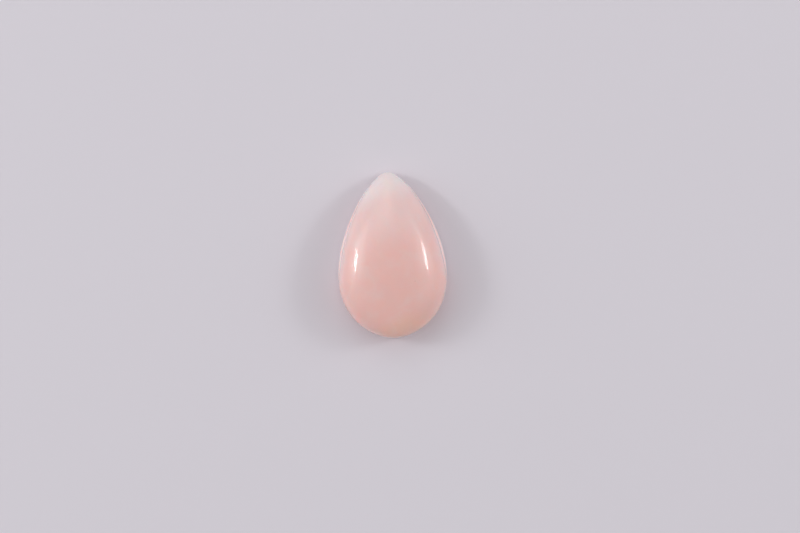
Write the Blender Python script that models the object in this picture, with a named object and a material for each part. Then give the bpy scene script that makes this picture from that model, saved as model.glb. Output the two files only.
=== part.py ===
"""Pear-shaped cabochon of pink opal: one polished stone with a domed top and a flat back.

Metres, +Z up. The stone rests on its flat back with the tip along +Y, and the origin is on the
back, below the middle of the outline.
"""

import math

import bmesh
import bpy
from mathutils import Vector
from mathutils.geometry import interpolate_bezier

# Driving dimensions.
LENGTH = 0.01400  # from the tip to the end of the belly
WIDTH = 0.00916  # across the belly at its widest
HEIGHT = 0.00420  # from the flat back to the summit of the dome
GIRDLE_BAND = 0.0003  # height of the upright wall between the dome and the back bevel
BACK_BEVEL = 0.0003  # the narrow bevel ground round the back

# How the outline is drawn out, as shares of the length.
WIDEST_SHARE = 0.379  # the widest place, from the belly end
TIP_REACH = 0.103  # how far the tip's level stretch reaches to each side: less is sharper
FLANK_REACH = 0.288  # how far the side stays upright above the widest place
BELLY_REACH = 0.118  # how far the belly end's level stretch reaches to each side

# How the dome is rounded.
DOME_POWER = 0.33  # 0.5 is an ellipsoid; less makes a flatter top and steeper sides
TIP_TAPER = 0.8  # how much earlier the dome falls away towards the tip
BELLY_FILL = 0.35  # how much fuller the dome stays towards the belly end
SUMMIT_SHARE = 0.46  # where the dome is highest, as a share of the length from the belly end

# Fineness of the facets.
FLANK_STEPS = 28
BELLY_STEPS = 20
DOME_RINGS = 30

STONE_NAME = "opal_cabochon"
STONE_PINK = (0.80, 0.49, 0.45, 1.0)
STONE_ROUGHNESS = 0.18

OUTLINE_STEPS = 2 * (FLANK_STEPS + BELLY_STEPS)
SUMMIT = Vector((0.0, LENGTH * (SUMMIT_SHARE - 0.5), 0.0))
DOME_BASE_Z = GIRDLE_BAND + BACK_BEVEL
DOME_HEIGHT = HEIGHT - DOME_BASE_Z


def clear_scene():
    """Removes whatever the startup scene holds."""
    for startup_object in list(bpy.data.objects):
        bpy.data.objects.remove(startup_object)


def outline_points():
    """The girdle's points from the tip round the right side to the belly end and back up the left.

    Each side is two curves that meet at the widest place. The lower one's upright reach there is
    worked out so that the side bends equally above and below that place.
    """
    half_length = LENGTH / 2
    half_width = WIDTH / 2
    widest_y = LENGTH * (WIDEST_SHARE - 0.5)
    tip_reach = LENGTH * TIP_REACH
    flank_reach = LENGTH * FLANK_REACH
    belly_reach = LENGTH * BELLY_REACH
    side_reach = flank_reach * math.sqrt((half_width - belly_reach) / (half_width - tip_reach))
    tip = Vector((0.0, half_length, 0.0))
    tip_handle = Vector((tip_reach, half_length, 0.0))
    flank_handle = Vector((half_width, widest_y + flank_reach, 0.0))
    widest = Vector((half_width, widest_y, 0.0))
    side_handle = Vector((half_width, widest_y - side_reach, 0.0))
    belly_handle = Vector((belly_reach, -half_length, 0.0))
    belly_end = Vector((0.0, -half_length, 0.0))
    flank = interpolate_bezier(tip, tip_handle, flank_handle, widest, FLANK_STEPS + 1)
    belly = interpolate_bezier(widest, side_handle, belly_handle, belly_end, BELLY_STEPS + 1)
    right = flank[:-1] + belly
    left = [Vector((-point.x, point.y, 0.0)) for point in reversed(right[1:-1])]
    return right + left


def dome_rise(level, y):
    """The dome's height over the girdle, as a share, at the place y of a point of the unit sphere.

    Level is that point's own height.
    """
    to_tip = max(0.0, (y - SUMMIT.y) / (LENGTH / 2 - SUMMIT.y))
    to_belly = max(0.0, (SUMMIT.y - y) / (LENGTH / 2 + SUMMIT.y))
    bend = 1 + TIP_TAPER * to_tip ** 2 - BELLY_FILL * to_belly ** 2
    return max(0.0, level) ** (2 * DOME_POWER * bend)


def shape_dome(bm):
    """Draws the upper half of a unit sphere out into the pear-shaped dome.

    Each meridian runs from the summit to its own point of the outline, and each ring is the
    outline drawn in towards the summit.
    """
    outline = outline_points()
    for vertex in bm.verts:
        turn = math.atan2(vertex.co.x, vertex.co.y) % math.tau
        spread = math.hypot(vertex.co.x, vertex.co.y)
        level = vertex.co.z
        edge = outline[round(turn / math.tau * OUTLINE_STEPS) % OUTLINE_STEPS]
        vertex.co = SUMMIT + (edge - SUMMIT) * spread
        vertex.co.z = DOME_BASE_Z + dome_rise(level, vertex.co.y) * DOME_HEIGHT


def largest_face(bm):
    """The flat cut across the stone, the one face that has the whole outline for its edge."""
    return max(bm.faces, key=lambda face: len(face.verts))


def grind_back(bm):
    """Closes the dome with its upright girdle wall, the back bevel and the flat back."""
    rim = [edge for edge in bm.edges if edge.is_boundary]
    bmesh.ops.holes_fill(bm, edges=rim, sides=0)
    cut = largest_face(bm)
    lowered = bmesh.ops.extrude_face_region(bm, geom=[cut])["geom"]
    corners = [item for item in lowered if isinstance(item, bmesh.types.BMVert)]
    bmesh.ops.delete(bm, geom=[cut], context="FACES_ONLY")
    bmesh.ops.translate(bm, verts=corners, vec=(0.0, 0.0, -GIRDLE_BAND))
    bmesh.ops.recalc_face_normals(bm, faces=bm.faces)
    bmesh.ops.inset_region(
        bm, faces=[largest_face(bm)], thickness=BACK_BEVEL, depth=BACK_BEVEL, use_even_offset=True
    )


def opal_material():
    """Pink common opal with a waxy polish."""
    material = bpy.data.materials.new("pink_opal")
    material.use_nodes = True
    shader = material.node_tree.nodes["Principled BSDF"]
    shader.inputs["Base Color"].default_value = STONE_PINK
    shader.inputs["Roughness"].default_value = STONE_ROUGHNESS
    shader.inputs["Metallic"].default_value = 0.0
    shader.inputs["IOR"].default_value = 1.45
    return material


def make_stone(collection):
    """The whole stone: a sphere cut at its equator, drawn out to the pear, and closed below."""
    bm = bmesh.new()
    bmesh.ops.create_uvsphere(bm, u_segments=OUTLINE_STEPS, v_segments=2 * DOME_RINGS, radius=1.0)
    lower_half = [vertex for vertex in bm.verts if vertex.co.z < -1e-4]
    bmesh.ops.delete(bm, geom=lower_half, context="VERTS")
    shape_dome(bm)
    grind_back(bm)
    mesh = bpy.data.meshes.new(STONE_NAME)
    bm.to_mesh(mesh)
    bm.free()
    mesh.shade_smooth()
    mesh.set_sharp_from_angle(angle=math.radians(30))
    mesh.materials.append(opal_material())
    stone = bpy.data.objects.new(STONE_NAME, mesh)
    collection.objects.link(stone)
    return stone


def main():
    clear_scene()
    collection = bpy.data.collections.new("pink_opal_cabochon")
    bpy.context.scene.collection.children.link(collection)
    make_stone(collection)


main()
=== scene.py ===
"""Cuts, polishes and lights a pear-shaped cabochon of pink opal.

Laid out as a Blender add-on and run as a script. Metres, +Z up: the stone rests on its flat back
on the table, with its tip along +Y and the origin on the back, below the middle of the outline.
"""

import math

import bmesh
import bpy
from bpy.props import FloatProperty, FloatVectorProperty, PointerProperty
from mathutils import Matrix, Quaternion, Vector


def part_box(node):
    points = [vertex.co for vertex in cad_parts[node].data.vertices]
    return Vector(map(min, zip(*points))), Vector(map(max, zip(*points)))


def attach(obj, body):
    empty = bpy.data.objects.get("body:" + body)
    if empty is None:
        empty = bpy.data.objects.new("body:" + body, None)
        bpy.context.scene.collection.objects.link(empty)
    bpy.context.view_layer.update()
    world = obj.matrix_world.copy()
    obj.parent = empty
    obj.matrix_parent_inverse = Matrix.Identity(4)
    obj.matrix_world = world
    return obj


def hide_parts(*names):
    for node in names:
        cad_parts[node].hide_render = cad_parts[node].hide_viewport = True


bl_info = {
    "name": "Pink Opal Cabochon",
    "version": (1, 0, 0),
    "blender": (4, 5, 0),
    "location": "3D View > Sidebar > Cabochon",
    "description": "Cuts a pear-shaped pink opal cabochon and sets it in soft studio light",
    "category": "Add Mesh",
}

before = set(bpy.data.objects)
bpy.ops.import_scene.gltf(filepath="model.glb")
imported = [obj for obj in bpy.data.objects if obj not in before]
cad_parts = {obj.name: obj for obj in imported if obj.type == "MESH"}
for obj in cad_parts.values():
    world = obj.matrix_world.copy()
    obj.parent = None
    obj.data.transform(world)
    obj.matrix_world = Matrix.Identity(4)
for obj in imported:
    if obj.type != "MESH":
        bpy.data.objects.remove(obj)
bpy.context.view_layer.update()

MILLIMETRE = 0.001
STONE_NODE = "opal_cabochon"
STONE_LOW, STONE_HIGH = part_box(STONE_NODE)
STONE_SIZE = STONE_HIGH - STONE_LOW

# Fineness of the stone's mesh: columns down each side, and rings from the back up to the summit.
SIDE_COLUMNS = 221
BACK_RINGS = 8
FLARE_RINGS = 10
DOME_RINGS = 110
CURVE_POINTS = 200
WELD_DISTANCE = 1e-7
INSIDE_GRID = 0.4999  # the grid that is rolled up ends at 0.5

# How the flare at the foot of the dome is drawn.
FLARE_EDGE_POWER = 6.0  # more is a tighter outer edge
FLARE_TURN_POWER = 10.0  # more turns up later
FLARE_TURN_SHARE = 0.8  # height of the turn into the dome, as a share of the flare's width
FLARE_END_SHARE = -0.2  # where it ends towards the belly, from the middle, as a share of the length
FLARE_FULL_SHARE = 0.25  # how far to the tip it keeps its width, as a share of half the length

# Shares of the height of the whole stone and of the back bevel.
WANDER_TOP_SHARE = 0.5  # the dome is even again from here up
GROUND_SHARE = 0.8  # the bevel is left unpolished up to here

# The opal's inner patterns. Strengths are how far the colour turns to the pattern's own.
OPAL_IOR = 1.45
GLOW_SPREAD = (1.0, 0.55, 0.45)  # how far red, green and blue spread, as shares of the glow depth
SWIRL_SIZE = 4 * MILLIMETRE
SWIRL_PUSH = 2.5 * MILLIMETRE
CLOUD_SIZE = 1.6 * MILLIMETRE
CLOUD_START = 0.42  # a cloud begins where the noise is over this
CLOUD_FULL = 0.72
CLOUD_STRENGTH = 0.3
SPECK_SPACING = 1.0 * MILLIMETRE
SPECK_CORE = 0.03  # a speck is full up to this radius, as a share of the spacing
SPECK_EDGE = 0.09  # and has faded out at this one
SPECK_STRENGTH = 0.25
SPECKLESS_SHARE = 0.84  # share of the cells without a speck

# Where the rim light painted on the flanks lies, as distances along the stone from its middle, to the
# tip.
PAINTED_RIM_LIGHT_BELLY_END = -3.0 * MILLIMETRE
PAINTED_RIM_LIGHT_BELLY_FULL = -0.6 * MILLIMETRE
PAINTED_RIM_LIGHT_TIP_FULL = 1.0 * MILLIMETRE
PAINTED_RIM_LIGHT_TIP_END = 4.0 * MILLIMETRE
PAINTED_RIM_LIGHT_TIP_SHARE = 0.15  # what is left of it from there on
PAINTED_RIM_LIGHT_SLOPE = 0.22  # how much lower its top gets on the way to the tip

# The surface. A noise pattern is mostly between the low and the high one.
NOISE_LOW = 0.3
NOISE_HIGH = 0.7
POLISH_PATCH_SIZE = 2 * MILLIMETRE
POLISH_UNEVENNESS = 0.04
RIPPLE_SPACING = 0.35 * MILLIMETRE
GRAIN_STRETCH = 0.45  # less is longer grain
LAP_LINE_SPACING = 0.08 * MILLIMETRE
LAP_LINE_TURN = math.radians(24)
LAP_LINE_STRETCH = 0.04  # less is longer lines
LAP_LINE_DEPTH = 0.006 * MILLIMETRE
LAPPED_ROUGHNESS = (0.42, 0.6)

# The window's glowing front and its distance, and the gap between the fronts of one lamp.
WINDOW_LENGTH = 0.5
WINDOW_HEIGHT = 0.4
WINDOW_DISTANCE = 0.6
FRONT_GAP = 0.001

# The photograph's frame in pixels, and how the stone lies in it: the middle of its outline, its
# length, and its turn in radians. The outline lies at the girdle's top, 0.6 mm over the table.
FRAME_WIDTH = 800
FRAME_HEIGHT = 533
STONE_PIXEL = (391.7, 254.9)
STONE_LENGTH_PIXELS = 165.6
STONE_ROLL = 0.048
OUTLINE_HEIGHT = 0.6 * MILLIMETRE


def linear(hex_colour):
    """The linear red, green and blue of an sRGB hex colour."""
    channels = [int(hex_colour[i : i + 2], 16) / 255 for i in (0, 2, 4)]
    return tuple(c / 12.92 if c <= 0.04045 else ((c + 0.055) / 1.055) ** 2.4 for c in channels)


def add_node(tree, kind, inputs=None, **settings):
    """Adds a node. Its settings are set first; an input is a number, a colour or a socket to link."""
    node = tree.nodes.new(kind)
    for name, value in settings.items():
        setattr(node, name, value)
    for key, value in (inputs or {}).items():
        socket = node.inputs[key]
        if isinstance(value, bpy.types.NodeSocket):
            tree.links.new(value, socket)
        else:
            socket.default_value = value
    return node


class CabochonCut(bpy.types.PropertyGroup):
    """The sizes that the stone is cut to."""

    length: FloatProperty(
        name="Length", description="From the tip to the end of the belly",
        default=STONE_SIZE.y, min=0.001, precision=5, unit="LENGTH",
    )
    width: FloatProperty(
        name="Width", description="Across the belly at its widest",
        default=STONE_SIZE.x, min=0.001, precision=5, unit="LENGTH",
    )
    height: FloatProperty(
        name="Height", description="From the flat back to the summit of the dome",
        default=STONE_SIZE.z, min=0.001, precision=5, unit="LENGTH",
    )
    girdle_band: FloatProperty(
        name="Girdle band", description="Height of the upright wall under the dome",
        default=0.3 * MILLIMETRE, min=0.0, precision=5, unit="LENGTH",
    )
    back_bevel: FloatProperty(
        name="Back bevel", description="Width and height of the bevel ground round the back",
        default=0.3 * MILLIMETRE, min=0.0, precision=5, unit="LENGTH",
    )
    flare_width: FloatProperty(
        name="Foot flare",
        description="Width of the narrow flare polished round the foot of the dome",
        default=0.18 * MILLIMETRE, min=0.0, precision=5, unit="LENGTH",
    )
    flare_tilt: FloatProperty(
        name="Flare tilt", description="How steeply the flare rises before it turns up into the dome",
        default=math.radians(29), min=0.0, max=math.radians(80), subtype="ANGLE",
    )
    flare_lip: FloatProperty(
        name="Flare edge",
        description="Height of the flare's rounded outer edge, as a share of its width",
        default=0.25, min=0.0, max=1.0, subtype="FACTOR",
    )
    edge_round: FloatProperty(
        name="Edge round", description="How far the edges of the back bevel are worn round",
        default=0.06 * MILLIMETRE, min=0.0, precision=5, unit="LENGTH",
    )
    girdle_wander: FloatProperty(
        name="Girdle wander", description="How far the hand-ground girdle strays up and down",
        default=0.05 * MILLIMETRE, min=0.0, precision=5, unit="LENGTH",
    )
    widest_share: FloatProperty(
        name="Widest place", description="Where the stone is widest, from the belly end",
        default=0.379, min=0.1, max=0.9, subtype="FACTOR",
    )
    tip_reach: FloatProperty(
        name="Tip reach", description="Less is a sharper tip, as a share of the length",
        default=0.103, min=0.0, max=0.5, subtype="FACTOR",
    )
    flank_reach: FloatProperty(
        name="Flank reach", description="How long the sides stay upright, as a share of the length",
        default=0.288, min=0.0, max=0.6, subtype="FACTOR",
    )
    belly_reach: FloatProperty(
        name="Belly reach", description="More is a blunter belly end, as a share of the length",
        default=0.118, min=0.0, max=0.5, subtype="FACTOR",
    )
    dome_power: FloatProperty(
        name="Dome power", description="0.5 is an ellipsoid; less has a flatter top and steeper sides",
        default=0.33, min=0.1, max=1.0, subtype="FACTOR",
    )
    shoulder_skew: FloatProperty(
        name="Uneven shoulders", description="How much fuller the left shoulder is than the right one",
        default=0.14, min=-0.5, max=0.5, subtype="FACTOR",
    )
    tip_taper: FloatProperty(
        name="Tip taper", description="How much the dome falls away earlier towards the tip",
        default=0.8, min=0.0, max=2.0, subtype="FACTOR",
    )
    belly_fill: FloatProperty(
        name="Belly fill", description="How much fuller the dome stays towards the belly end",
        default=0.35, min=0.0, max=1.0, subtype="FACTOR",
    )
    summit_share: FloatProperty(
        name="Summit place", description="Where the dome is highest, from the belly end",
        default=0.46, min=0.1, max=0.9, subtype="FACTOR",
    )


class OpalLook(bpy.types.PropertyGroup):
    """The opal's colours, milkiness and polish, and the rim light painted on its flanks."""

    tip_colour: FloatVectorProperty(
        name="Tip", description="Milk-white opal in the tip",
        default=linear("FFE8E7"), min=0.0, max=1.0, subtype="COLOR",
    )
    shoulder_colour: FloatVectorProperty(
        name="Shoulder", description="Pale shell pink between the tip and the middle",
        default=linear("FBD5D2"), min=0.0, max=1.0, subtype="COLOR",
    )
    middle_colour: FloatVectorProperty(
        name="Middle", description="Rose pink in the middle of the dome",
        default=linear("FFC9C3"), min=0.0, max=1.0, subtype="COLOR",
    )
    belly_colour: FloatVectorProperty(
        name="Belly", description="The deepest salmon pink, in the belly",
        default=linear("FDC8C1"), min=0.0, max=1.0, subtype="COLOR",
    )
    heel_colour: FloatVectorProperty(
        name="Heel", description="Peach pink in the thin end of the belly",
        default=linear("FEC9BB"), min=0.0, max=1.0, subtype="COLOR",
    )
    # Painted light: the colour zones are tilted paler on the left, for the stronger light from the
    # left.
    painted_light_zone_tilt: FloatProperty(
        name="Zone tilt", description="How far askew the colour zones lie, paler on the left",
        default=0.22, min=-1.0, max=1.0, subtype="FACTOR",
    )
    cloud_colour: FloatVectorProperty(
        name="Clouds", description="Milky clouds in the body of the stone",
        default=linear("FBDAD6"), min=0.0, max=1.0, subtype="COLOR",
    )
    # Painted rim light: a pale colour painted low on the steep flanks, where the side lamps light the
    # stone.
    painted_rim_light_colour: FloatVectorProperty(
        name="Milky skin", description="Paler opal low on the steep flanks",
        default=linear("F5DDDD"), min=0.0, max=1.0, subtype="COLOR",
    )
    painted_rim_light_strength: FloatProperty(
        name="Milky skin strength", description="How far the flanks turn to the milky skin's colour",
        default=0.8, min=0.0, max=1.0, subtype="FACTOR",
    )
    painted_rim_light_top: FloatProperty(
        name="Milky skin height", description="How high up the flanks the milky skin reaches",
        default=3.4 * MILLIMETRE, min=0.0, precision=5, unit="LENGTH",
    )
    painted_rim_light_fade: FloatProperty(
        name="Milky skin fade", description="Height over which the milky skin fades out",
        default=2.0 * MILLIMETRE, min=0.0, precision=5, unit="LENGTH",
    )
    speck_colour: FloatVectorProperty(
        name="Specks", description="Tiny grey-brown inclusions",
        default=linear("8E6A62"), min=0.0, max=1.0, subtype="COLOR",
    )
    polish_coat: FloatProperty(
        name="Polish", description="Strength of the sharp top gloss over the waxy one",
        default=0.7, min=0.0, max=1.0, subtype="FACTOR",
    )
    coat_roughness: FloatProperty(
        name="Polish roughness", description="Blur of the sharp top gloss",
        default=0.075, min=0.0, max=1.0, subtype="FACTOR",
    )
    wax_roughness: FloatProperty(
        name="Wax roughness", description="Blur of the waxy gloss under it",
        default=0.41, min=0.0, max=1.0, subtype="FACTOR",
    )
    grain: FloatProperty(
        name="Grain", description="Depth of the fine grain that breaks up the highlights",
        default=0.012 * MILLIMETRE, min=0.0, precision=6, unit="LENGTH",
    )
    grain_size: FloatProperty(
        name="Grain size", description="Width of the fine grain, which is drawn out along the stone",
        default=0.24 * MILLIMETRE, min=0.00001, precision=6, unit="LENGTH",
    )
    ripple: FloatProperty(
        name="Ripple", description="Depth of the soft ripples that the felt leaves",
        default=0.004 * MILLIMETRE, min=0.0, precision=6, unit="LENGTH",
    )
    glow_depth: FloatProperty(
        name="Glow depth", description="How far light spreads inside the stone",
        default=0.6 * MILLIMETRE, min=0.0, precision=5, unit="LENGTH",
    )


class StudioSet(bpy.types.PropertyGroup):
    """The table, the two side lamps, the window and the camera."""

    table_colour: FloatVectorProperty(
        name="Table", description="Pale grey-lilac table",
        default=linear("E2DDE5"), min=0.0, max=1.0, subtype="COLOR",
    )
    sky_strength: FloatProperty(
        name="Room light", description="Brightness of the even light from the white room",
        default=0.332, min=0.0,
    )
    lamp_distance: FloatProperty(
        name="Lamp distance", description="From the stone to each lamp",
        default=0.5, min=0.1, unit="LENGTH",
    )
    box_length: FloatProperty(
        name="Soft box length", description="Length of each side lamp's glowing front",
        default=0.3, min=0.01, unit="LENGTH",
    )
    box_height: FloatProperty(
        name="Soft box height", description="Height of each side lamp's glowing front",
        default=0.26, min=0.01, unit="LENGTH",
    )
    wide_length: FloatProperty(
        name="Wide front length", description="Length of the wide dim light round each soft box",
        default=0.6, min=0.01, unit="LENGTH",
    )
    wide_height: FloatProperty(
        name="Wide front height", description="Height of the wide dim light round each soft box",
        default=0.4, min=0.01, unit="LENGTH",
    )
    wide_share: FloatProperty(
        name="Wide front share", description="How much of each lamp's power the wide dim light gives",
        default=0.4, min=0.0, max=1.0, subtype="FACTOR",
    )
    wide_back: FloatProperty(
        name="Wide front place",
        description="How far the wide dim light stands from the hot spot, towards the belly end",
        default=math.radians(15), subtype="ANGLE",
    )
    core_share: FloatProperty(
        name="Hot spot share", description="How much of each lamp's power the bright oval gives",
        default=0.33, min=0.0, max=1.0, subtype="FACTOR",
    )
    left_elevation: FloatProperty(
        name="Left lamp height", description="The left lamp's angle above the table",
        default=math.radians(33.2), subtype="ANGLE",
    )
    left_forward: FloatProperty(
        name="Left lamp forward", description="How far towards the stone's tip the left lamp stands",
        default=math.radians(14), subtype="ANGLE",
    )
    left_lean: FloatProperty(
        name="Left lamp lean", description="How far the left lamp is turned about its own direction",
        default=math.radians(55), subtype="ANGLE",
    )
    left_core: FloatProperty(
        name="Left hot spot length", description="Length of the bright oval in the left lamp",
        default=0.135, min=0.01, unit="LENGTH",
    )
    left_core_height: FloatProperty(
        name="Left hot spot height", description="Height of the bright oval in the left lamp",
        default=0.048, min=0.01, unit="LENGTH",
    )
    left_power: FloatProperty(
        name="Left lamp", description="Power of the left lamp, in watts", default=1.06, min=0.0,
    )
    right_elevation: FloatProperty(
        name="Right lamp height", description="The right lamp's angle above the table",
        default=math.radians(32), subtype="ANGLE",
    )
    right_forward: FloatProperty(
        name="Right lamp forward", description="How far towards the stone's tip the right lamp stands",
        default=math.radians(13), subtype="ANGLE",
    )
    right_lean: FloatProperty(
        name="Right lamp lean", description="How far the right lamp is turned about its own direction",
        default=math.radians(-46), subtype="ANGLE",
    )
    right_core: FloatProperty(
        name="Right hot spot length", description="Length of the bright oval in the right lamp",
        default=0.125, min=0.01, unit="LENGTH",
    )
    right_core_height: FloatProperty(
        name="Right hot spot height", description="Height of the bright oval in the right lamp",
        default=0.062, min=0.01, unit="LENGTH",
    )
    right_power: FloatProperty(
        name="Right lamp", description="Power of the right lamp, in watts", default=0.91, min=0.0,
    )
    window_power: FloatProperty(
        name="Window", description="Power of the wide soft light behind the tip, in watts",
        default=0.53, min=0.0,
    )
    window_forward: FloatProperty(
        name="Window place", description="90 is straight behind the tip; less is further to the left",
        default=math.radians(75), subtype="ANGLE",
    )
    window_elevation: FloatProperty(
        name="Window height", description="The window's angle above the table",
        default=math.radians(48), subtype="ANGLE",
    )
    lens: FloatProperty(
        name="Lens", description="Focal length on a 36 mm sensor, in millimetres",
        default=150.0, min=20.0,
    )


def cabochon_tree(polished, ground):
    """Geometry nodes that loft half the stone over its outline and mirror it.

    A flat grid is rolled up: its columns go from the tip down the right side to the belly end,
    and its rings from the middle of the back out over the bevel and the girdle to the summit.
    """
    tree = bpy.data.node_groups.new("pear_cabochon", "GeometryNodeTree")
    for name in CUT_INPUTS:
        tree.interface.new_socket(name, in_out="INPUT", socket_type="NodeSocketFloat")
    tree.interface.new_socket("Geometry", in_out="OUTPUT", socket_type="NodeSocketGeometry")
    size = add_node(tree, "NodeGroupInput").outputs

    def calculate(operation, *values):
        inputs = dict(enumerate(values))
        return add_node(tree, "ShaderNodeMath", inputs, operation=operation).outputs[0]

    def place(operation, *values, output=0, **named):
        inputs = {**dict(enumerate(values)), **named}
        return add_node(tree, "ShaderNodeVectorMath", inputs, operation=operation).outputs[output]

    def point(*values):
        return add_node(tree, "ShaderNodeCombineXYZ", dict(enumerate(values))).outputs[0]

    half_length = calculate("MULTIPLY", size["Length"], 0.5)
    belly_y = calculate("MULTIPLY", size["Length"], -0.5)
    half_width = calculate("MULTIPLY", size["Width"], 0.5)
    flank_y = calculate("ADD", size["Widest Y"], size["Flank Reach"])
    side_y = calculate("SUBTRACT", size["Widest Y"], size["Side Reach"])
    widest = point(half_width, size["Widest Y"])
    flank = add_node(tree, "GeometryNodeCurvePrimitiveBezierSegment", {
        "Resolution": CURVE_POINTS,
        "Start": point(0.0, half_length),
        "Start Handle": point(size["Tip Reach"], half_length),
        "End Handle": point(half_width, flank_y),
        "End": widest,
    })
    belly = add_node(tree, "GeometryNodeCurvePrimitiveBezierSegment", {
        "Resolution": CURVE_POINTS,
        "Start": widest,
        "Start Handle": point(half_width, side_y),
        "End Handle": point(size["Belly Reach"], belly_y),
        "End": point(0.0, belly_y),
    })
    outline = add_node(tree, "GeometryNodeJoinGeometry")
    # The link made last comes first, and the outline has to start at the tip.
    tree.links.new(belly.outputs[0], outline.inputs[0])
    tree.links.new(flank.outputs[0], outline.inputs[0])

    flare_foot = BACK_RINGS + 2
    dome_foot = flare_foot + FLARE_RINGS
    ring_count = dome_foot + DOME_RINGS
    grid = add_node(tree, "GeometryNodeMeshGrid", {
        "Size X": 1.0, "Size Y": 1.0, "Vertices X": SIDE_COLUMNS, "Vertices Y": ring_count + 1,
    })
    spot = add_node(tree, "ShaderNodeSeparateXYZ", {
        0: add_node(tree, "GeometryNodeInputPosition").outputs[0],
    }).outputs

    def stretch(first_ring, last_ring, end=1.0):
        """Runs from 0 to end between two rings, and stays there outside them."""
        return add_node(tree, "ShaderNodeMapRange", {
            "Value": spot["Y"],
            "From Min": first_ring / ring_count - 0.5,
            "From Max": last_ring / ring_count - 0.5,
            "To Min": 0.0,
            "To Max": end,
        }).outputs[0]

    back_share = stretch(0, BACK_RINGS)
    bevel_share = stretch(BACK_RINGS, BACK_RINGS + 1)
    band_share = stretch(BACK_RINGS + 1, BACK_RINGS + 2)
    flare_share = stretch(flare_foot, dome_foot)
    dome_turn = stretch(dome_foot, ring_count, math.pi / 2)

    edge = add_node(tree, "GeometryNodeSampleCurve", {
        "Curves": outline.outputs[0],
        "Factor": calculate("ADD", spot["X"], 0.5),
    }, mode="FACTOR", use_all_curves=True)
    inwards = place("CROSS_PRODUCT", edge.outputs["Tangent"], (0.0, 0.0, 1.0))
    bevel_inset = calculate("MULTIPLY", size["Back Bevel"], calculate("SUBTRACT", 1.0, bevel_share))
    # The flare is on the flanks, and narrows to nothing before the belly end and the tip.
    edge_y = add_node(tree, "ShaderNodeSeparateXYZ", {0: edge.outputs["Position"]}).outputs["Y"]
    off_belly_end = add_node(tree, "ShaderNodeMapRange", {
        "Value": edge_y, "From Min": size["Flare End"], "From Max": 0.0,
    }, interpolation_type="SMOOTHSTEP").outputs[0]
    off_tip = add_node(tree, "ShaderNodeMapRange", {
        "Value": edge_y,
        "From Min": calculate("MULTIPLY", half_length, FLARE_FULL_SHARE),
        "From Max": half_length,
        "To Min": 1.0,
        "To Max": 0.0,
    }).outputs[0]
    on_flank = calculate("MULTIPLY", off_belly_end, off_tip)
    flare_width = calculate("MULTIPLY", size["Flare Width"], on_flank)
    flare_inset = calculate("MULTIPLY", flare_share, flare_width)
    inset = calculate("ADD", flare_inset, bevel_inset)
    rim = place("MULTIPLY_ADD", inwards, inset, edge.outputs["Position"])
    summit = point(0.0, size["Summit Y"])
    # The first and last rings shrink exactly to the middle of the back and to the summit, and the
    # first and last columns lie exactly on the mirror plane, so that the welded stone is closed.
    off_pole = calculate("LESS_THAN", calculate("ABSOLUTE", spot["Y"]), INSIDE_GRID)
    off_plane = calculate("LESS_THAN", calculate("ABSOLUTE", spot["X"]), INSIDE_GRID)
    turned_in = calculate("MULTIPLY", back_share, calculate("COSINE", dome_turn))
    spread = calculate("MULTIPLY", turned_in, off_pole)
    level = place("ADD", place("SCALE", place("SUBTRACT", rim, summit), Scale=spread), summit)
    girdle_top = calculate("ADD", size["Back Bevel"], size["Girdle Band"])
    # The flare has a rounded outer edge, rises evenly, and turns up steeply into the dome.
    from_edge = calculate("POWER", calculate("SUBTRACT", 1.0, flare_share), FLARE_EDGE_POWER)
    rounded = calculate("MULTIPLY", calculate("SUBTRACT", 1.0, from_edge), size["Flare Edge"])
    turn_up = calculate("POWER", flare_share, FLARE_TURN_POWER)
    turned_up = calculate("MULTIPLY_ADD", turn_up, size["Flare Turn"], rounded)
    flared = calculate("MULTIPLY_ADD", flare_share, size["Flare Rise"], turned_up)
    slope_height = calculate("ADD", size["Flare Rise"], size["Flare Turn"])
    flare_height = calculate("ADD", size["Flare Edge"], slope_height)
    foot = calculate("ADD", girdle_top, flare_height)
    dome_bend = calculate("MULTIPLY", size["Dome Power"], 2.0)
    climb = calculate("POWER", calculate("SINE", dome_turn), dome_bend)
    dome_height = calculate("SUBTRACT", size["Height"], foot)
    rise = calculate("MULTIPLY", climb, dome_height)
    over_girdle = calculate("ADD", flared, rise)
    wall = calculate("MULTIPLY_ADD", band_share, size["Girdle Band"], over_girdle)
    height = calculate("MULTIPLY_ADD", bevel_share, size["Back Bevel"], wall)
    half = add_node(tree, "GeometryNodeSetPosition", {
        "Geometry": grid.outputs["Mesh"],
        "Position": place("MULTIPLY_ADD", level, point(off_plane, 1.0, 1.0), point(0.0, 0.0, height)),
    })
    right_half = add_node(tree, "GeometryNodeFlipFaces", {"Mesh": half.outputs[0]})
    left_half = add_node(tree, "GeometryNodeTransform", {
        "Geometry": half.outputs[0], "Scale": (-1.0, 1.0, 1.0),
    })
    halves = add_node(tree, "GeometryNodeJoinGeometry")
    tree.links.new(right_half.outputs[0], halves.inputs[0])
    tree.links.new(left_half.outputs[0], halves.inputs[0])
    whole = add_node(tree, "GeometryNodeMergeByDistance", {
        "Geometry": halves.outputs[0], "Distance": WELD_DISTANCE,
    })

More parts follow.
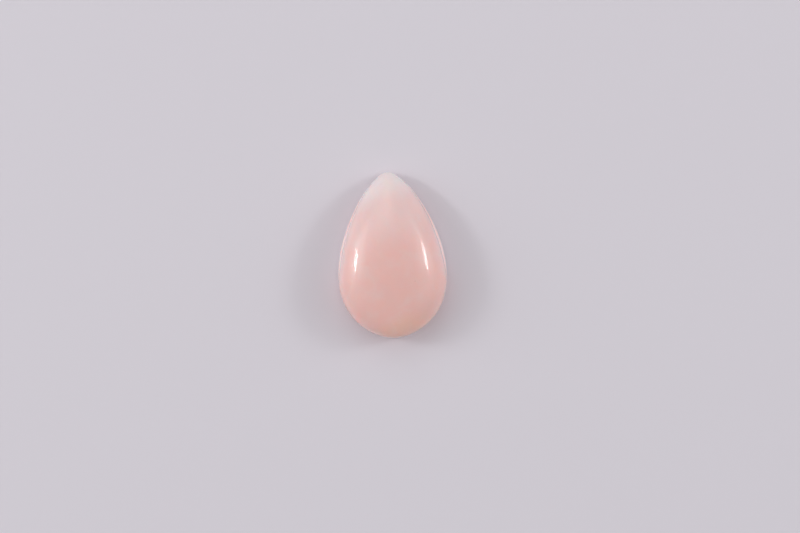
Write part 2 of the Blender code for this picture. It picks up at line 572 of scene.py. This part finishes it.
    # The dome's height over the girdle, from 0 to 1, is bent up on the left and towards the belly
    # end, and down on the right and towards the tip.
    welded = add_node(tree, "ShaderNodeSeparateXYZ", {
        0: add_node(tree, "GeometryNodeInputPosition").outputs[0],
    }).outputs
    over_foot = calculate("SUBTRACT", welded["Z"], foot)
    dome_share = calculate("DIVIDE", calculate("MAXIMUM", over_foot, 0.0), dome_height)
    to_right = calculate("DIVIDE", welded["X"], half_width)
    to_tip = add_node(tree, "ShaderNodeMapRange", {
        "Value": welded["Y"], "From Min": size["Summit Y"], "From Max": half_length,
    }).outputs[0]
    to_belly = add_node(tree, "ShaderNodeMapRange", {
        "Value": welded["Y"], "From Min": size["Summit Y"], "From Max": belly_y,
    }).outputs[0]
    skewed = calculate("MULTIPLY_ADD", to_right, size["Shoulder Skew"], 1.0)
    filled = calculate("MULTIPLY", calculate("MULTIPLY", to_belly, to_belly), size["Belly Fill"])
    level_bend = calculate("SUBTRACT", skewed, filled)
    tip_pull = calculate("MULTIPLY", to_tip, to_tip)
    bend = calculate("MULTIPLY_ADD", tip_pull, size["Tip Taper"], level_bend)
    bent_share = calculate("POWER", dome_share, bend)
    gain = calculate("MULTIPLY", calculate("SUBTRACT", bent_share, dome_share), dome_height)
    uneven = add_node(tree, "GeometryNodeSetPosition", {
        "Geometry": whole.outputs[0], "Offset": point(0.0, 0.0, gain),
    })

    here = add_node(tree, "GeometryNodeInputPosition").outputs[0]
    level_here = place("MULTIPLY", here, (1.0, 1.0, 0.0))
    sway = add_node(tree, "ShaderNodeTexNoise", {
        "Vector": level_here, "Scale": 1 / SWIRL_SIZE, "Detail": 1.0,
    }).outputs[0]
    height_here = add_node(tree, "ShaderNodeSeparateXYZ", {0: here}).outputs["Z"]
    up_from_back = add_node(tree, "ShaderNodeMapRange", {
        "Value": height_here, "From Min": 0.0, "From Max": size["Back Bevel"],
    }, interpolation_type="SMOOTHSTEP").outputs[0]
    below_shoulder = add_node(tree, "ShaderNodeMapRange", {
        "Value": height_here,
        "From Min": foot,
        "From Max": calculate("MULTIPLY", size["Height"], WANDER_TOP_SHARE),
        "To Min": 1.0,
        "To Max": 0.0,
    }, interpolation_type="SMOOTHSTEP").outputs[0]
    near_girdle = calculate("MULTIPLY", up_from_back, below_shoulder)
    # The noise is from 0 to 1: less 0.5 and doubled, it strays as far up as down.
    stray = calculate("MULTIPLY", calculate("SUBTRACT", sway, 0.5), size["Girdle Wander"])
    lift = calculate("MULTIPLY", stray, calculate("MULTIPLY", near_girdle, 2.0))
    hand_ground = add_node(tree, "GeometryNodeSetPosition", {
        "Geometry": uneven.outputs[0], "Offset": point(0.0, 0.0, lift),
    })
    smooth = add_node(tree, "GeometryNodeSetShadeSmooth", {"Geometry": hand_ground.outputs[0]})
    real = add_node(tree, "GeometryNodeRealizeInstances", {"Geometry": smooth.outputs[0]})
    polish = add_node(tree, "GeometryNodeSetMaterial", {
        "Geometry": real.outputs[0], "Material": polished,
    })
    ground_top = calculate("MULTIPLY", size["Back Bevel"], GROUND_SHARE)
    grind = add_node(tree, "GeometryNodeSetMaterial", {
        "Geometry": polish.outputs[0],
        "Selection": calculate("LESS_THAN", height_here, ground_top),
        "Material": ground,
    })
    add_node(tree, "NodeGroupOutput", {"Geometry": grind.outputs[0]})
    return tree


CUT_INPUTS = (
    "Length", "Width", "Height", "Girdle Band", "Back Bevel", "Girdle Wander", "Dome Power",
    "Flare Width", "Flare Edge", "Flare Rise", "Flare Turn", "Flare End",
    "Shoulder Skew", "Tip Taper", "Belly Fill", "Widest Y", "Summit Y",
    "Tip Reach", "Flank Reach", "Side Reach", "Belly Reach",
)


def cut_sizes(cut):
    """The node tree's inputs, in metres, worked out from the cut."""
    tip_reach = cut.length * cut.tip_reach
    flank_reach = cut.length * cut.flank_reach
    belly_reach = cut.length * cut.belly_reach
    half_width = cut.width / 2
    # The side bends equally above and below the widest place.
    side_reach = flank_reach * math.sqrt((half_width - belly_reach) / (half_width - tip_reach))
    return {
        "Length": cut.length,
        "Width": cut.width,
        "Height": cut.height,
        "Girdle Band": cut.girdle_band,
        "Back Bevel": cut.back_bevel,
        "Flare Width": cut.flare_width,
        "Flare Rise": cut.flare_width * math.tan(cut.flare_tilt),
        "Flare Edge": cut.flare_width * cut.flare_lip,
        "Flare Turn": cut.flare_width * FLARE_TURN_SHARE,
        "Flare End": cut.length * FLARE_END_SHARE,
        "Girdle Wander": cut.girdle_wander,
        "Dome Power": cut.dome_power,
        "Shoulder Skew": cut.shoulder_skew,
        "Tip Taper": cut.tip_taper,
        "Belly Fill": cut.belly_fill,
        "Widest Y": cut.length * (cut.widest_share - 0.5),
        "Summit Y": cut.length * (cut.summit_share - 0.5),
        "Tip Reach": tip_reach,
        "Flank Reach": flank_reach,
        "Side Reach": side_reach,
        "Belly Reach": belly_reach,
    }


def opal_shader(name, look):
    """A material with the opal's body: its colour zones, clouds and specks, the rim light painted low
    on its flanks, and its inner glow.

    Returns the material, its node tree, its shader and the object coordinates, for the surface
    finish to be added.
    """
    material = bpy.data.materials.new(name)
    material.use_nodes = True
    tree = material.node_tree
    shader = tree.nodes["Principled BSDF"]
    coordinates = add_node(tree, "ShaderNodeTexCoord").outputs["Object"]

    # Slow swirls, so that the zones don't run straight across the stone.
    swirl = add_node(tree, "ShaderNodeTexNoise", {
        "Vector": coordinates, "Scale": 1 / SWIRL_SIZE, "Detail": 2.0,
    })
    push = add_node(tree, "ShaderNodeVectorMath", {
        0: swirl.outputs["Color"], 1: (0.5, 0.5, 0.5),
    }, operation="SUBTRACT")
    swirled = add_node(tree, "ShaderNodeVectorMath", {
        0: push.outputs[0], 1: (SWIRL_PUSH, SWIRL_PUSH, SWIRL_PUSH), 2: coordinates,
    }, operation="MULTIPLY_ADD")
    # The zones are the opal's own, but they lie a little askew, paler on the left: this tilt is
    # painted light, standing in for the stronger light that falls on the left side.
    along = add_node(tree, "ShaderNodeVectorMath", {
        0: swirled.outputs[0], 1: (-look.painted_light_zone_tilt, 1.0, 0.0),
    }, operation="DOT_PRODUCT").outputs["Value"]
    share = add_node(tree, "ShaderNodeMapRange", {
        "Value": along, "From Min": STONE_LOW.y, "From Max": STONE_HIGH.y,
    }).outputs[0]
    zones = add_node(tree, "ShaderNodeValToRGB", {0: share})
    zones.color_ramp.interpolation = "EASE"
    stops = zones.color_ramp.elements
    stops.remove(stops[1])
    layers = (
        (0.02, look.heel_colour), (0.15, look.belly_colour), (0.48, look.middle_colour),
        (0.76, look.shoulder_colour), (0.96, look.tip_colour),
    )
    for index, (place, colour) in enumerate(layers):
        stop = stops.new(place) if index else stops[0]
        stop.position = place
        stop.color = (*colour, 1.0)

    # Milky clouds.
    clouds = add_node(tree, "ShaderNodeTexNoise", {
        "Vector": swirled.outputs[0], "Scale": 1 / CLOUD_SIZE, "Detail": 3.0,
        "Roughness": 0.55, "Distortion": 0.3,
    })
    cloudy = add_node(tree, "ShaderNodeMapRange", {
        "Value": clouds.outputs[0],
        "From Min": CLOUD_START,
        "From Max": CLOUD_FULL,
        "To Max": CLOUD_STRENGTH,
    }, interpolation_type="SMOOTHSTEP")
    milky = add_node(tree, "ShaderNodeMix", {
        "Factor": cloudy.outputs[0], 6: zones.outputs[0], 7: (*look.cloud_colour, 1.0),
    }, data_type="RGBA")

    # Painted rim light: a pale band painted low on the steep flanks where the side lamps catch the
    # stone, which also lightens the shade at the foot of the dome. It is strongest beside the middle
    # of the stone, and ends before the belly.
    whereabouts = add_node(tree, "ShaderNodeSeparateXYZ", {0: coordinates}).outputs
    past_middle = add_node(tree, "ShaderNodeMath", {
        0: whereabouts["Y"], 1: 0.0,
    }, operation="MAXIMUM")
    lifted = add_node(tree, "ShaderNodeMath", {
        0: past_middle.outputs[0], 1: PAINTED_RIM_LIGHT_SLOPE, 2: whereabouts["Z"],
    }, operation="MULTIPLY_ADD")
    low_down = add_node(tree, "ShaderNodeMapRange", {
        "Value": lifted.outputs[0],
        "From Min": look.painted_rim_light_top - look.painted_rim_light_fade,
        "From Max": look.painted_rim_light_top,
        "To Min": look.painted_rim_light_strength,
        "To Max": 0.0,
    }, interpolation_type="SMOOTHSTEP")
    off_belly = add_node(tree, "ShaderNodeMapRange", {
        "Value": whereabouts["Y"], "From Min": PAINTED_RIM_LIGHT_BELLY_END, "From Max": PAINTED_RIM_LIGHT_BELLY_FULL,
    }, interpolation_type="SMOOTHSTEP")
    off_shoulder = add_node(tree, "ShaderNodeMapRange", {
        "Value": whereabouts["Y"], "From Min": PAINTED_RIM_LIGHT_TIP_FULL, "From Max": PAINTED_RIM_LIGHT_TIP_END,
        "To Min": 1.0, "To Max": PAINTED_RIM_LIGHT_TIP_SHARE,
    }, interpolation_type="SMOOTHSTEP")
    middle_part = add_node(tree, "ShaderNodeMath", {
        0: off_belly.outputs[0], 1: off_shoulder.outputs[0],
    }, operation="MULTIPLY")
    painted_rim_light = add_node(tree, "ShaderNodeMath", {
        0: low_down.outputs[0], 1: middle_part.outputs[0],
    }, operation="MULTIPLY")
    # The painted rim light is mixed into the body colour here.
    with_painted_rim_light = add_node(tree, "ShaderNodeMix", {
        "Factor": painted_rim_light.outputs[0], 6: milky.outputs[2], 7: (*look.painted_rim_light_colour, 1.0),
    }, data_type="RGBA")

    # Faint grey-brown specks, up to 0.18 mm across, in about one cell in six.
    cells = add_node(tree, "ShaderNodeTexVoronoi", {
        "Vector": coordinates, "Scale": 1 / SPECK_SPACING,
    })
    chance = add_node(tree, "ShaderNodeSeparateColor", {0: cells.outputs["Color"]})
    chosen = add_node(tree, "ShaderNodeMath", {
        0: chance.outputs[0], 1: SPECKLESS_SHARE,
    }, operation="GREATER_THAN")
    near = add_node(tree, "ShaderNodeMapRange", {
        "Value": cells.outputs["Distance"], "From Min": SPECK_CORE, "From Max": SPECK_EDGE,
        "To Min": SPECK_STRENGTH, "To Max": 0.0,
    }, interpolation_type="SMOOTHSTEP")
    speck = add_node(tree, "ShaderNodeMath", {
        0: chosen.outputs[0], 1: near.outputs[0],
    }, operation="MULTIPLY")
    body = add_node(tree, "ShaderNodeMix", {
        "Factor": speck.outputs[0], 6: with_painted_rim_light.outputs[2], 7: (*look.speck_colour, 1.0),
    }, data_type="RGBA")
    tree.links.new(body.outputs[2], shader.inputs["Base Color"])

    shader.inputs["IOR"].default_value = OPAL_IOR
    shader.inputs["Subsurface Weight"].default_value = 1.0
    shader.inputs["Subsurface Radius"].default_value = GLOW_SPREAD
    shader.inputs["Subsurface Scale"].default_value = look.glow_depth
    return material, tree, shader, coordinates


def polished_opal(look):
    """Common opal polished on felt: waxy, with a soft-edged highlight that is never quite even."""
    material, tree, shader, coordinates = opal_shader("polished_opal", look)
    shader.inputs["Coat Weight"].default_value = look.polish_coat
    shader.inputs["Coat Roughness"].default_value = look.coat_roughness
    shader.inputs["Coat IOR"].default_value = OPAL_IOR
    # Uneven polish, in patches.
    patches = add_node(tree, "ShaderNodeTexNoise", {
        "Vector": coordinates, "Scale": 1 / POLISH_PATCH_SIZE, "Detail": 3.0,
    })
    unevenness = add_node(tree, "ShaderNodeMapRange", {
        "Value": patches.outputs[0],
        "From Min": NOISE_LOW,
        "From Max": NOISE_HIGH,
        "To Min": look.wax_roughness - POLISH_UNEVENNESS,
        "To Max": look.wax_roughness + POLISH_UNEVENNESS,
    })
    tree.links.new(unevenness.outputs[0], shader.inputs["Roughness"])
    # Soft ripples that the felt leaves, and a finer grain, drawn out along the stone. The real
    # grain is finer than a pixel; it is drawn as coarse as it needs to break up the highlights.
    ripples = add_node(tree, "ShaderNodeTexNoise", {
        "Vector": coordinates, "Scale": 1 / RIPPLE_SPACING, "Detail": 2.0,
    })
    rippled = add_node(tree, "ShaderNodeBump", {
        "Height": ripples.outputs[0], "Distance": look.ripple,
    })
    tree.links.new(rippled.outputs[0], shader.inputs["Normal"])
    drawn_out = add_node(tree, "ShaderNodeMapping", {
        "Vector": coordinates, "Scale": (1.0, GRAIN_STRETCH, 1.0),
    })
    grain = add_node(tree, "ShaderNodeTexNoise", {
        "Vector": drawn_out.outputs[0], "Scale": 1 / look.grain_size, "Detail": 1.0,
    })
    surface = add_node(tree, "ShaderNodeBump", {
        "Height": grain.outputs[0], "Distance": look.grain, "Normal": rippled.outputs[0],
    })
    tree.links.new(surface.outputs[0], shader.inputs["Coat Normal"])
    return material


def ground_opal(look):
    """Opal ground flat on a lap and left unpolished: matt, with fine straight lines one way."""
    material, tree, shader, coordinates = opal_shader("ground_opal", look)
    turned = add_node(tree, "ShaderNodeMapping", {
        "Vector": coordinates,
        "Rotation": (0.0, 0.0, LAP_LINE_TURN),
        "Scale": (LAP_LINE_STRETCH, 1.0, 1.0),
    })
    # Real lap lines are about 0.02 mm apart; these are drawn further apart, so that they show.
    lines = add_node(tree, "ShaderNodeTexNoise", {
        "Vector": turned.outputs[0], "Scale": 1 / LAP_LINE_SPACING, "Detail": 2.0,
    })
    matt = add_node(tree, "ShaderNodeMapRange", {
        "Value": lines.outputs[0],
        "From Min": NOISE_LOW,
        "From Max": NOISE_HIGH,
        "To Min": LAPPED_ROUGHNESS[0],
        "To Max": LAPPED_ROUGHNESS[1],
    })
    tree.links.new(matt.outputs[0], shader.inputs["Roughness"])
    surface = add_node(tree, "ShaderNodeBump", {
        "Height": lines.outputs[0], "Distance": LAP_LINE_DEPTH,
    })
    tree.links.new(surface.outputs[0], shader.inputs["Normal"])
    return material


def table_material(colour):
    """Matt white acrylic sheet, lilac-grey under the lamps."""
    material = bpy.data.materials.new("acrylic_table")
    material.use_nodes = True
    shader = material.node_tree.nodes["Principled BSDF"]
    shader.inputs["Base Color"].default_value = (*colour, 1.0)
    shader.inputs["Roughness"].default_value = 0.55
    shader.inputs["Specular IOR Level"].default_value = 0.3
    return material


def link(new_object):
    bpy.context.scene.collection.objects.link(new_object)
    return new_object


class CABOCHON_OT_cut_stone(bpy.types.Operator):
    """Cuts the pear-shaped stone, rounds its back edges and polishes it"""

    bl_idname = "cabochon.cut_stone"
    bl_label = "Cut Stone"

    def execute(self, context):
        cut = context.scene.cabochon_cut
        look = context.scene.opal_look
        blank = link(bpy.data.objects.new("stone_blank", bpy.data.meshes.new("stone_blank")))
        loft = blank.modifiers.new("loft", "NODES")
        loft.node_group = cabochon_tree(polished_opal(look), ground_opal(look))
        sizes = cut_sizes(cut)
        for item in loft.node_group.interface.items_tree:
            if item.in_out == "INPUT":
                loft[item.identifier] = sizes[item.name]
        rounding = blank.modifiers.new("worn_edges", "BEVEL")
        rounding.width = cut.edge_round
        rounding.segments = 3
        rounding.limit_method = "ANGLE"
        rounding.angle_limit = math.radians(30)
        rounding.harden_normals = True
        graph = context.evaluated_depsgraph_get()
        mesh = bpy.data.meshes.new_from_object(blank.evaluated_get(graph))
        bpy.data.objects.remove(blank)
        mesh.materials.pop(index=0)
        bm = bmesh.new()
        bm.from_mesh(mesh)
        bmesh.ops.remove_doubles(bm, verts=bm.verts, dist=WELD_DISTANCE)
        bmesh.ops.recalc_face_normals(bm, faces=bm.faces)
        bm.to_mesh(mesh)
        bm.free()
        mesh.name = "pink_opal_stone"
        stone = link(bpy.data.objects.new("pink_opal_stone", mesh))
        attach(stone, "root")
        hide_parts(STONE_NODE)
        return {"FINISHED"}


def make_table(colour):
    """A round table top whose far edge sweeps up, so that no horizon shows behind the stone."""
    flat_radius = 0.22
    sweep_radius = 0.2
    sweep_turn = math.radians(40)
    profile = [(0.0, 0.0), (flat_radius, 0.0)]
    steps = 12
    for step in range(1, steps + 1):
        turn = sweep_turn * step / steps
        profile.append((
            flat_radius + sweep_radius * math.sin(turn),
            sweep_radius * (1 - math.cos(turn)),
        ))
    bm = bmesh.new()
    points = [bm.verts.new((x, 0.0, z)) for x, z in profile]
    edges = [bm.edges.new(pair) for pair in zip(points, points[1:])]
    bmesh.ops.spin(
        bm, geom=points + edges, axis=(0, 0, 1), cent=(0, 0, 0), angle=math.tau, steps=96,
    )
    bmesh.ops.remove_doubles(bm, verts=bm.verts, dist=1e-6)
    bmesh.ops.recalc_face_normals(bm, faces=bm.faces)
    if sum(face.normal.z for face in bm.faces) < 0:
        bmesh.ops.reverse_faces(bm, faces=bm.faces)
    mesh = bpy.data.meshes.new("table")
    bm.to_mesh(mesh)
    bm.free()
    mesh.shade_smooth()
    mesh.materials.append(table_material(colour))
    table = link(bpy.data.objects.new("table", mesh))


def add_glow(name, shape, length, height, power, place, turn):
    """One flat glowing front of a lamp."""
    glow = bpy.data.lights.new(name, "AREA")
    glow.shape = shape
    glow.size = length
    glow.size_y = height
    glow.energy = power
    front = link(bpy.data.objects.new(name, glow))
    front.location = place
    front.rotation_euler = turn
    front.visible_camera = False


def lamp_direction(forward, elevation, side):
    """From the stone to a lamp. Side is -1 for the left, 1 for the right; forward is to the tip."""
    level = Vector((side * math.cos(forward), math.sin(forward), 0.0))
    return level * math.cos(elevation) + Vector((0.0, 0.0, math.sin(elevation)))


def aimed(away, lean):
    """The turn that faces a lamp at the stone, leant about its own direction."""
    aim = (-away).to_track_quat("-Z", "Y") @ Quaternion((0.0, 0.0, 1.0), lean)
    return aim.to_euler()


def add_lamp(name, side, forward, elevation, lean, power, core_size, studio):
    """A soft box with a hot spot in its middle and a wide dim glow behind it, aimed at the stone."""
    away = lamp_direction(forward, elevation, side)
    turn = aimed(away, lean)
    wide_away = lamp_direction(forward - studio.wide_back, elevation, side)
    add_glow(
        name + "_wide_glow", "ELLIPSE", studio.wide_length, studio.wide_height,
        power * studio.wide_share, wide_away * (studio.lamp_distance + FRONT_GAP),
        aimed(wide_away, lean),
    )
    add_glow(
        name + "_soft_box", "RECTANGLE", studio.box_length, studio.box_height,
        power * (1 - studio.core_share - studio.wide_share), away * studio.lamp_distance, turn,
    )
    add_glow(
        name + "_hot_spot", "ELLIPSE", *core_size,
        power * studio.core_share, away * (studio.lamp_distance - FRONT_GAP), turn,
    )


def add_camera(studio):
    """Looks straight down, rolled so that the stone's tip leans a little to the left."""
    camera = bpy.data.cameras.new("camera")
    camera.lens = studio.lens
    camera.sensor_width = 36.0
    camera.clip_start = 0.01
    camera.clip_end = 5.0
    metres_per_pixel = STONE_SIZE.y / STONE_LENGTH_PIXELS
    distance = FRAME_WIDTH * metres_per_pixel * studio.lens / camera.sensor_width
    right = Vector((math.cos(STONE_ROLL), -math.sin(STONE_ROLL), 0.0))
    up = Vector((math.sin(STONE_ROLL), math.cos(STONE_ROLL), 0.0))
    viewer = link(bpy.data.objects.new("camera", camera))
    viewer.location = (
        right * (FRAME_WIDTH / 2 - STONE_PIXEL[0]) * metres_per_pixel
        - up * (FRAME_HEIGHT / 2 - STONE_PIXEL[1]) * metres_per_pixel
        + Vector((0.0, 0.0, distance + STONE_LOW.z + OUTLINE_HEIGHT))
    )
    viewer.rotation_euler = (0.0, 0.0, -STONE_ROLL)
    bpy.context.scene.camera = viewer


class CABOCHON_OT_set_studio(bpy.types.Operator):
    """Lays the table and sets the lamps, the window, the room light and the camera"""

    bl_idname = "cabochon.set_studio"
    bl_label = "Set Studio"

    def execute(self, context):
        studio = context.scene.studio_set
        make_table(studio.table_colour)
        window = lamp_direction(studio.window_forward, studio.window_elevation, -1)
        add_lamp(
            "left", -1, studio.left_forward, studio.left_elevation, studio.left_lean,
            studio.left_power, (studio.left_core, studio.left_core_height), studio,
        )
        add_lamp(
            "right", 1, studio.right_forward, studio.right_elevation, studio.right_lean,
            studio.right_power, (studio.right_core, studio.right_core_height), studio,
        )
        add_glow(
            "window", "RECTANGLE", WINDOW_LENGTH, WINDOW_HEIGHT, studio.window_power,
            window * WINDOW_DISTANCE, aimed(window, 0.0),
        )
        world = bpy.data.worlds.new("white_room")
        world.use_nodes = True
        background = world.node_tree.nodes["Background"]
        background.inputs["Color"].default_value = (1.0, 1.0, 1.0, 1.0)
        background.inputs["Strength"].default_value = studio.sky_strength
        context.scene.world = world
        context.scene.view_settings.view_transform = "Standard"
        add_camera(studio)
        return {"FINISHED"}


class CABOCHON_PT_sidebar(bpy.types.Panel):
    """Lists the stone's cut, the opal's look and the studio"""

    bl_label = "Pink Opal Cabochon"
    bl_idname = "CABOCHON_PT_sidebar"
    bl_space_type = "VIEW_3D"
    bl_region_type = "UI"
    bl_category = "Cabochon"

    def draw(self, context):
        scene = context.scene
        for title, group, operator in (
            ("Cut", scene.cabochon_cut, CABOCHON_OT_cut_stone),
            ("Opal", scene.opal_look, None),
            ("Studio", scene.studio_set, CABOCHON_OT_set_studio),
        ):
            box = self.layout.box()
            box.label(text=title)
            for name in group.__annotations__:
                box.prop(group, name)
            if operator:
                box.operator(operator.bl_idname)


CLASSES = (
    CabochonCut, OpalLook, StudioSet,
    CABOCHON_OT_cut_stone, CABOCHON_OT_set_studio, CABOCHON_PT_sidebar,
)


def register():
    for item in CLASSES:
        bpy.utils.register_class(item)
    bpy.types.Scene.cabochon_cut = PointerProperty(type=CabochonCut)
    bpy.types.Scene.opal_look = PointerProperty(type=OpalLook)
    bpy.types.Scene.studio_set = PointerProperty(type=StudioSet)


def unregister():
    del bpy.types.Scene.studio_set
    del bpy.types.Scene.opal_look
    del bpy.types.Scene.cabochon_cut
    for item in reversed(CLASSES):
        bpy.utils.unregister_class(item)


def main():
    register()
    bpy.ops.cabochon.cut_stone()
    bpy.ops.cabochon.set_studio()


if __name__ == "__main__":
    main()
